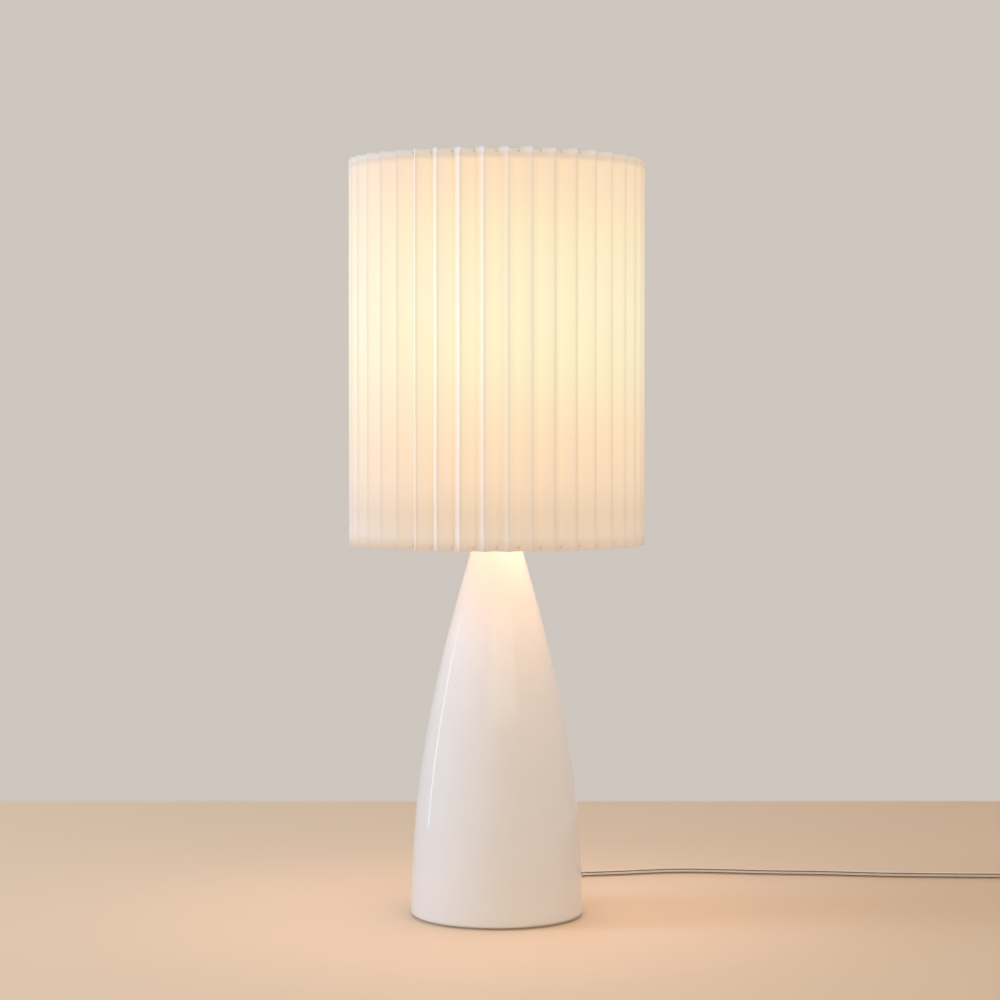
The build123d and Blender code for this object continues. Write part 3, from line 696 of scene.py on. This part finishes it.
def paper_finish():
    finish = Finish("pleated_paper", {"Roughness": 0.8, "Specular IOR Level": 0.25})
    x, y, z = finish.xyz()
    radius = finish.radius(x, y)
    height = (z - paper_low.z) / (paper_high.z - paper_low.z)
    settings = {"stops": GLOW_STOPS}
    glow = finish.node("ShaderNodeValToRGB", settings, {0: height})
    depth = radius.fade(TIP_RADIUS - TIP_REACH, TIP_RADIUS)
    fibres = finish.grain(1.4 * MM, detail=4.0, stretch=(1, 1, 0.35))
    clouds = finish.grain(30 * MM, detail=2.0, stretch=(1, 1, 0.4))
    level = (1 - (1 - TIP_DIM) * depth) * (0.95 + MOTTLE * fibres + MOTTLE * clouds)
    finish.set("Emission Color", finish.dim(glow, level))
    finish.set("Emission Strength", 1.0)
    plain = finish.mix(fibres, PAPER_DULL, PAPER_BRIGHT)
    from_top, from_bottom = paper_high.z - z, z - paper_low.z
    bottom = BOTTOM_SHARE + (1 - BOTTOM_SHARE) * from_bottom.fade(*BOTTOM_FADE)
    body = finish.mix(from_top.fade(*TOP_FADE) * bottom, plain, PAPER_GLOWING)
    from_edge = from_top.at_most(from_bottom)
    # painted shade: dark dots in the inner creases, a set distance from the top and bottom edges
    dot = 1 - (abs(from_edge - SHADE_DOT_HEIGHT) / SHADE_DOT_SIZE).fade(0.2, 1.6)
    dot = dot * (1 - (radius - VALLEY_RADIUS).fade(*SHADE_DOT_REACH))
    finish.set("Base Color", finish.mix(dot * SHADE_DOT_STRENGTH, body, CREASE_SHADE_COLOUR))
    finish.bump(fibres, 0.05 * MM, 0.35)
    return finish


shade_finish = paper_finish()
print("stops of the glow:", len(GLOW_STOPS))

# %% [markdown]
# The strip is still a sheet without thickness. It becomes an object that rides on the shade,
# and the Solidify modifier gives it the thickness of stiff paper, inwards only, so that the
# outer folds stay where they are.

# %% Make the shade a piece of the lamp
PAPER_THICK = 0.5 * MM


def new_piece(name, shape, body, finish):
    """Turns a bmesh into a piece of the lamp that moves with a body."""
    mesh = bpy.data.meshes.new(name)
    shape.to_mesh(mesh)
    shape.free()
    for face in mesh.polygons:
        face.use_smooth = True
    mesh.materials.append(finish.material)
    piece = bpy.data.objects.new(name, mesh)
    bpy.context.scene.collection.objects.link(piece)
    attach(piece, body)
    return piece


paper = new_piece("pleated_shade", paper_shape, "shade", shade_finish)
thickness = paper.modifiers.new("thickness", "SOLIDIFY")
thickness.thickness = PAPER_THICK
thickness.offset = -1
thickness.use_even_offset = True
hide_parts("shade_paper")
print("paper from", round(paper_low.z, 4), "to", round(paper_high.z, 4), "m")

# %% [markdown]
# ## Finishes for the pieces of the frame
# The rigid pieces keep their shapes and only need their surfaces. Every finish is more than
# one colour: metals have a brushed or rolled grain and uneven roughness, castings are pitted,
# plastics are softly speckled. The scale of each grain is given in metres. The glaze, metals
# and plastics have a shine, and come first.


# %% Glaze, metals and plastics
def glaze_finish():
    """White glaze over fired clay: a soft body colour under a clear, slightly wavy coat."""
    finish = Finish("white_glaze", {
        "Roughness": 0.42, "Specular IOR Level": 0.4, "Coat Weight": 1.0, "Coat Roughness": 0.045,
    })
    clouds = finish.grain(26 * MM, detail=2.0)
    specks = finish.grain(0.9 * MM, detail=1.0).fade(0.70, 0.78)
    white = finish.mix(clouds, (0.80, 0.775, 0.75), (0.83, 0.805, 0.78))
    finish.set("Base Color", finish.mix(specks * 0.25, white, (0.55, 0.50, 0.44)))
    finish.bump(finish.grain(9 * MM, detail=1.5), 0.12 * MM, 0.25)
    return finish


def metal_finish(name, colour, rough, grain_size, stretch=(1, 1, 1), wear=0.5):
    """Metal with fine tool marks, darker and duller where it has tarnished."""
    finish = Finish(name, {"Metallic": 1.0})
    marks = finish.grain(grain_size, detail=3.0, stretch=stretch)
    tarnish = finish.grain(14 * MM, detail=3.0).fade(0.45, 0.85)
    tarnished = tuple(0.62 * part for part in colour)
    finish.set("Base Color", finish.mix(tarnish * wear, colour, tarnished))
    finish.set("Roughness", rough + 0.10 * marks + 0.15 * wear * tarnish)
    finish.bump(marks, 0.02 * MM, 0.3)
    return finish


def plastic_finish(name, colour, rough, speck=0.15):
    """Moulded plastic with a fine even texture."""
    finish = Finish(name, {"Specular IOR Level": 0.45})
    texture = finish.grain(0.7 * MM, detail=2.0)
    darker = tuple((1 - speck) * part for part in colour)
    finish.set("Base Color", finish.mix(texture, darker, colour))
    finish.set("Roughness", rough + 0.12 * texture)
    finish.bump(texture, 0.03 * MM, 0.25)
    return finish


glaze = glaze_finish()
brass = metal_finish("polished_brass", (0.86, 0.62, 0.28), 0.18, 1.2 * MM, stretch=(1, 1, 6))
plated = metal_finish("nickel_plate", (0.72, 0.70, 0.66), 0.22, 1.6 * MM, wear=0.3)
steel = metal_finish("zinc_steel", (0.58, 0.59, 0.60), 0.35, 1.0 * MM)
contact_brass = metal_finish("contact_brass", (0.80, 0.60, 0.32), 0.3, 1.0 * MM)
white_wire = plastic_finish("white_enamel", (0.82, 0.81, 0.79), 0.3, speck=0.05)
black_plastic = plastic_finish("black_plastic", (0.03, 0.03, 0.032), 0.35)
phenolic = plastic_finish("brown_phenolic", (0.07, 0.045, 0.03), 0.4, speck=0.4)
rubber = plastic_finish("grey_rubber", (0.13, 0.13, 0.13), 0.7, speck=0.3)
bulb_white = plastic_finish("bulb_white", (0.86, 0.86, 0.85), 0.35, speck=0.03)
board_finish = plastic_finish("lit_board", (0.80, 0.78, 0.60), 0.4, speck=0.1)
print("finishes so far:", len([item for item in bpy.data.materials if item.users]))

# %% [markdown]
# Card, felt and cast iron are rough all over. Their look is in the bump: long fibres in the
# card, fine hairs in the felt and round pits in the iron.


# %% Card, felt and iron
def card_finish():
    """Uncoated card: the bands inside the shade and the liner of the socket."""
    finish = Finish("card", {"Roughness": 0.9})
    fibres = finish.grain(2.2 * MM, detail=5.0, stretch=(1, 1, 3))
    finish.set("Base Color", finish.mix(fibres, (0.74, 0.68, 0.60), (0.85, 0.81, 0.75)))
    finish.bump(fibres, 0.06 * MM, 0.5)
    return finish


def felt_finish():
    """Pressed felt: matt, with hairs that catch the light."""
    finish = Finish("felt", {"Roughness": 1.0, "Sheen Weight": 0.5})
    hairs = finish.grain(0.8 * MM, detail=5.0, rough=0.7)
    finish.set("Base Color", finish.mix(hairs, (0.48, 0.41, 0.33), (0.64, 0.56, 0.47)))
    finish.bump(hairs, 0.3 * MM, 0.8)
    return finish


def iron_finish():
    """A cast iron weight, painted thinly over its pitted skin."""
    finish = Finish("cast_iron", {"Metallic": 0.6})
    pits = finish.grain(2.5 * MM, detail=4.0)
    rust = finish.grain(11 * MM, detail=3.0).fade(0.55, 0.75)
    finish.set("Base Color", finish.mix(rust * 0.6, (0.055, 0.055, 0.06), (0.20, 0.10, 0.055)))
    finish.set("Roughness", 0.55 + 0.3 * pits)
    finish.bump(pits, 0.25 * MM, 0.6)
    return finish


card = card_finish()
felt = felt_finish()
iron = iron_finish()
print("rough finishes:", card.material.name, felt.material.name, iron.material.name)

# %% [markdown]
# The last ones let light through. The globe glows evenly, because its frosted wall scatters
# the light of the board inside. The cord and the plug are clear soft plastic, which bends
# light a little less than glass does, and the bushing is a milky one.


# %% Globe and clear plastic
def globe_finish():
    """The bulb's frosted globe, lit from within and a little dimmer round its neck."""
    finish = Finish("lit_globe", {"Roughness": 0.4, "Base Color": (0.60, 0.58, 0.54)})
    height = finish.xyz()[2].fade(globe_low.z, globe_low.z + 22 * MM)
    finish.set("Emission Color", finish.mix(height, (0.95, 0.62, 0.30), (1.0, 0.88, 0.62)))
    finish.set("Emission Strength", 0.85)
    return finish


def clear_finish(name, tint, rough=0.06, clear=0.96):
    """Clear soft plastic: it lets light through and keeps a soft shine."""
    finish = Finish(name, {
        "Base Color": tint, "Roughness": rough, "IOR": 1.4, "Transmission Weight": clear,
    })
    ripple = finish.grain(3.0 * MM, detail=2.0)
    finish.bump(ripple, 0.04 * MM, 0.3)
    return finish


globe = globe_finish()
clear_cord = clear_finish("clear_cord", (0.90, 0.84, 0.74))
clear_plug = clear_finish("clear_plug", (0.95, 0.93, 0.90), rough=0.12, clear=0.8)
milky_bushing = clear_finish("milky_bushing", (0.90, 0.88, 0.84), rough=0.3, clear=0.4)
strands = metal_finish("copper_strands", (0.20, 0.115, 0.06), 0.5, 0.5 * MM, wear=0.4)
print("finishes:", len([item for item in bpy.data.materials if item.users]))

# %% [markdown]
# Each node of the frame now gets its finish. A table of finish and nodes keeps this short, and
# the script stops with a plain error if a name in it is not in the frame.

# %% Dress the frame
DRESSED = {
    glaze: ["base_body"],
    felt: ["base_felt"],
    steel: ["bottom_cover", "rod_washer", "rod_nut", "lamp_rod", "harp_saddle", "harp_seat",
            "bulb_cap", "fitter_hub"],
    iron: ["weight_disc"],
    brass: ["vase_cap", "neck_tube", "socket_cap", "socket_shell", "finial", "harp_sleeve_left",
            "harp_sleeve_right"],
    plated: ["harp_wire"],
    contact_brass: ["screw_shell", "centre_contact", "terminal_screws", "switch_shaft",
                    "bulb_contact", "plug_blades"],
    white_wire: ["shade_top_ring", "shade_bottom_ring", "fitter_arms"],
    card: ["shade_top_band", "shade_bottom_band", "socket_liner"],
    black_plastic: ["switch_knob"],
    phenolic: ["socket_core"],
    bulb_white: ["bulb_housing"],
    board_finish: ["led_board"],
    globe: ["bulb_globe"],
    milky_bushing: ["cord_bushing"],
    clear_plug: ["plug_body"],
    rubber: ["cap_seat", "inner_lead"],
}


def dress(node, finish):
    for slot in nodes[node].material_slots:
        slot.material = finish.material


for finish, names in DRESSED.items():
    for name in names:
        dress(name, finish)
nodes["bulb_globe"].visible_shadow = False   # the lamp inside it has to shine out
dressed = {name for names in DRESSED.values() for name in names}
print("nodes that other pieces replace:", sorted(set(nodes) - dressed))

# %% [markdown]
# The lead stands for the three nodes of the cord, which are hidden. The lead, its outline
# and its two wires ride with the base.

# %% Put the lead in place of the cord
lead_curve.materials.append(clear_cord.material)
for wire in wires:
    wire.data.materials.append(strands.material)
    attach(wire, "base")
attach(section, "base")
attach(lead, "base")
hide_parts("cord_lead", "cord_coil", "cord_tail")
print("pieces that belong to the lead:", 3 + len(wires))
